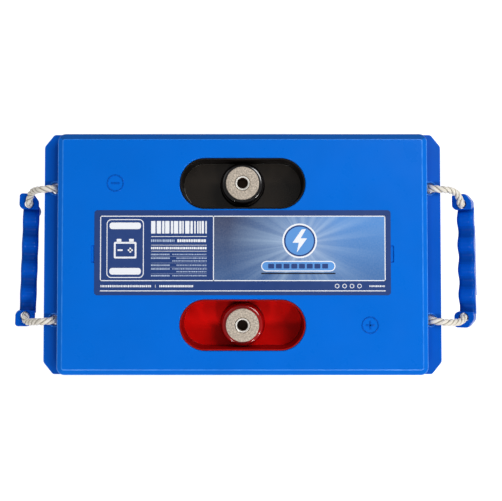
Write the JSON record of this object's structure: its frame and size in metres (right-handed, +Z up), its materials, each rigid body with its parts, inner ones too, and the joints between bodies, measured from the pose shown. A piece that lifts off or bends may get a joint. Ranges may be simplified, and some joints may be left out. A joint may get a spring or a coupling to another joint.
{
  "type": "deep cycle battery",
  "caption": "Tall blue sealed battery with a flanged lid, a black and a red terminal pocket, a wide label and a rope handle with a finger grip at each end.",
  "frame": {"origin": "middle of the flat underside of the container", "axes": "+Z up out of the lid; X along the 295 mm length, from handle to handle; +Y across the width, towards the black negative pocket"},
  "size_m": [0.3561, 0.1778, 0.4044],
  "materials": {
    "case_plastic": "satin moulded ABS",
    "label_film": "printed film, semi gloss",
    "black_plastic": "satin",
    "red_plastic": "satin",
    "lead_alloy": "cast lead alloy, dull",
    "tinned_brass": "machined, tinned",
    "rubber": "matt",
    "porous_disc": "porous, matt",
    "lead_plate": "pasted plate, matt",
    "oxide_plate": "pasted plate, matt",
    "glass_mat": "glass fibre mat",
    "grip_plastic": "satin moulded plastic",
    "rope": "three strand twisted polypropylene"
  },
  "bodies": {
    "battery": {"container": "case_plastic", "lid": "case_plastic", "vent_cover": "case_plastic", "label": "label_film", "pocket_negative": "black_plastic", "pocket_positive": "red_plastic", "terminal_negative": "lead_alloy", "thread_insert_negative": "tinned_brass", "terminal_seal_negative": "rubber", "busbar_negative": "lead_alloy", "terminal_positive": "lead_alloy", "thread_insert_positive": "tinned_brass", "terminal_seal_positive": "rubber", "busbar_positive": "lead_alloy", "relief_valve_1": "rubber", "flame_arrestor_1": "porous_disc", "negative_plates_1": "lead_plate", "positive_plates_1": "oxide_plate", "separator_1": "glass_mat", "relief_valve_2": "rubber", "flame_arrestor_2": "porous_disc", "negative_plates_2": "lead_plate", "positive_plates_2": "oxide_plate", "separator_2": "glass_mat", "relief_valve_3": "rubber", "flame_arrestor_3": "porous_disc", "negative_plates_3": "lead_plate", "positive_plates_3": "oxide_plate", "separator_3": "glass_mat", "rope_anchor_left_a": "rope", "rope_anchor_left_b": "rope", "rope_anchor_right_a": "rope", "rope_anchor_right_b": "rope"},
    "left_rope": {"rope_leg_left_a": "rope", "rope_leg_left_b": "rope"},
    "left_grip": {"grip_left": "grip_plastic", "rope_span_left": "rope"},
    "right_rope": {"rope_leg_right_a": "rope", "rope_leg_right_b": "rope"},
    "right_grip": {"grip_right": "grip_plastic", "rope_span_right": "rope"}
  },
  "joints": [
    {"name": "left_handle_swing", "type": "hinge", "parent": "battery", "child": "left_rope", "pos_m": [-0.1506, 0, 0.3941], "axis": [0, 1, 0], "range_deg": [-20, 140]},
    {"name": "left_grip_roll", "type": "hinge", "parent": "left_rope", "child": "left_grip", "pos_m": [-0.1639, -0.0044, 0.377], "axis": [0.028, 0.9996, 0], "range_deg": [-43, 75]},
    {"name": "right_handle_swing", "type": "hinge", "parent": "battery", "child": "right_rope", "pos_m": [0.1506, 0, 0.3941], "axis": [0, -1, 0], "range_deg": [-34, 129]},
    {"name": "right_grip_roll", "type": "hinge", "parent": "right_rope", "child": "right_grip", "pos_m": [0.16575, -0.00505, 0.3805], "axis": [0.0128, -0.9999, 0], "range_deg": [-36, 80]}
  ]
}
